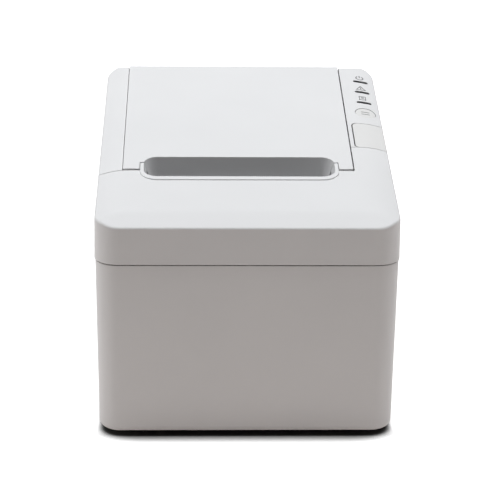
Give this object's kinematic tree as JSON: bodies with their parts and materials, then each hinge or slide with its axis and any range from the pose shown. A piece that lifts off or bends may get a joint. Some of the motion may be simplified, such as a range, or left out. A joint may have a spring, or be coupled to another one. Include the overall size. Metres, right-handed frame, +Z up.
{
  "type": "receipt printer",
  "caption": "Boxy light-grey desktop receipt printer with a sloping top, rear-hinged roll lid, serrated paper mouth, key strip and rear sockets.",
  "frame": {"origin": "middle of the bounding box at the level of the feet", "axes": "+Z up, front wall towards -Y, key strip towards +X"},
  "size_m": [0.145, 0.17, 0.1446],
  "materials": {
    "casing": "fine moulded grain, very light grey",
    "button": "smooth satin, light warm grey",
    "inner_grey": "moulded, mid grey",
    "dark": "moulded, near black",
    "lamp": "smoked clear plastic",
    "steel": "brushed",
    "painted": "powder coat",
    "alu": "extruded",
    "rubber": "dull",
    "gear": "natural acetal",
    "board": "green solder mask",
    "ceramic": "glazed"
  },
  "bodies": {
    "body": {"lower_casing": "casing", "front_cover": "casing", "top_frame": "casing", "bottom_plate": "painted", "bottom_screws": "steel", "rubber_feet": "rubber", "tear_bar": "steel", "hinge_pin": "steel", "gear_stud": "steel", "feed_motor": "painted", "mechanism_frame": "dark", "head_heatsink": "alu", "thermal_strip": "ceramic", "head_springs": "steel", "cutter_frame": "steel", "cutter_motor": "painted", "paper_well": "inner_grey", "paper_end_sensor": "dark", "near_end_sensor": "dark", "light_pipes": "lamp", "panel_board": "board", "panel_leds": "ceramic", "feed_switch": "dark", "latch_pin": "steel", "main_board": "board", "board_screws": "steel", "io_plate": "painted", "usb_socket": "steel", "lan_socket": "dark", "drawer_socket": "dark", "power_socket": "dark", "serial_port": "steel", "serial_jackscrews": "steel", "switch_housing": "dark", "power_capacitors": "dark", "processor_chip": "dark", "driver_chips": "dark", "buzzer": "dark"},
    "lid": {"lid_panel": "casing", "lid_inner_frame": "inner_grey", "fixed_blade": "steel", "platen_bushings": "dark"},
    "platen": {"platen_shaft": "steel", "platen_rubber": "rubber", "platen_gear": "gear"},
    "reduction": {"reduction_gear": "gear"},
    "pinion": {"motor_pinion": "steel"},
    "cutter_blade": {"moving_blade": "steel"},
    "cutter_drive": {"cutter_pinion": "gear"},
    "feed_key": {"feed_button": "button"},
    "release_key": {"release_button": "button"},
    "latch": {"latch_hook": "inner_grey"},
    "rocker": {"power_rocker": "dark"}
  },
  "joints": [
    {"name": "lid_hinge", "type": "hinge", "parent": "body", "child": "lid", "pos_m": [-0.0033, 0.07941, 0.13], "axis": [-1, 0, 0], "range_deg": [0, 85]},
    {"name": "platen_spin", "type": "hinge", "parent": "lid", "child": "platen", "pos_m": [-0.0033, -0.0178, 0.101], "axis": [1, 0, 0], "continuous": true},
    {"name": "reduction_spin", "type": "hinge", "parent": "body", "child": "reduction", "pos_m": [-0.0583, -0.01447, 0.0901], "axis": [1, 0, 0], "continuous": true},
    {"name": "pinion_spin", "type": "hinge", "parent": "body", "child": "pinion", "pos_m": [-0.0603, -0.02373, 0.07907], "axis": [1, 0, 0], "continuous": true},
    {"name": "cutter_slide", "type": "slide", "parent": "body", "child": "cutter_blade", "axis": [0, 0.866, 0.5], "range_m": [0, 0.004]},
    {"name": "cutter_turn", "type": "hinge", "parent": "body", "child": "cutter_drive", "pos_m": [-0.0073, -0.04619, 0.09616], "axis": [0, -0.5, 0.866], "range_deg": [0, 57.3]},
    {"name": "feed_press", "type": "slide", "parent": "body", "child": "feed_key", "axis": [0, 0.2079, -0.9781], "range_m": [0, 0.0008], "stiffness_N_per_m": 400, "springref_m": -0.0005},
    {"name": "release_press", "type": "slide", "parent": "body", "child": "release_key", "axis": [0, 0.2079, -0.9781], "range_m": [0, 0.0025], "stiffness_N_per_m": 600, "springref_m": -0.001},
    {"name": "latch_turn", "type": "hinge", "parent": "body", "child": "latch", "pos_m": [0.06, 0.00316, 0.10739], "axis": [0, 0.9781, 0.2079], "range_deg": [0, 28.65]},
    {"name": "power_rock", "type": "hinge", "parent": "body", "child": "rocker", "pos_m": [-0.05087, 0.0792, 0.0211], "axis": [1, 0, 0], "range_deg": [-8, 8]}
  ],
  "couplings": [
    {"joint": "reduction_spin", "follows": "platen_spin", "ratio": -1.7143},
    {"joint": "pinion_spin", "follows": "platen_spin", "ratio": 5.1429},
    {"joint": "cutter_turn", "follows": "cutter_slide", "rad_per_m": 250},
    {"joint": "latch_turn", "follows": "release_press", "rad_per_m": 200}
  ]
}
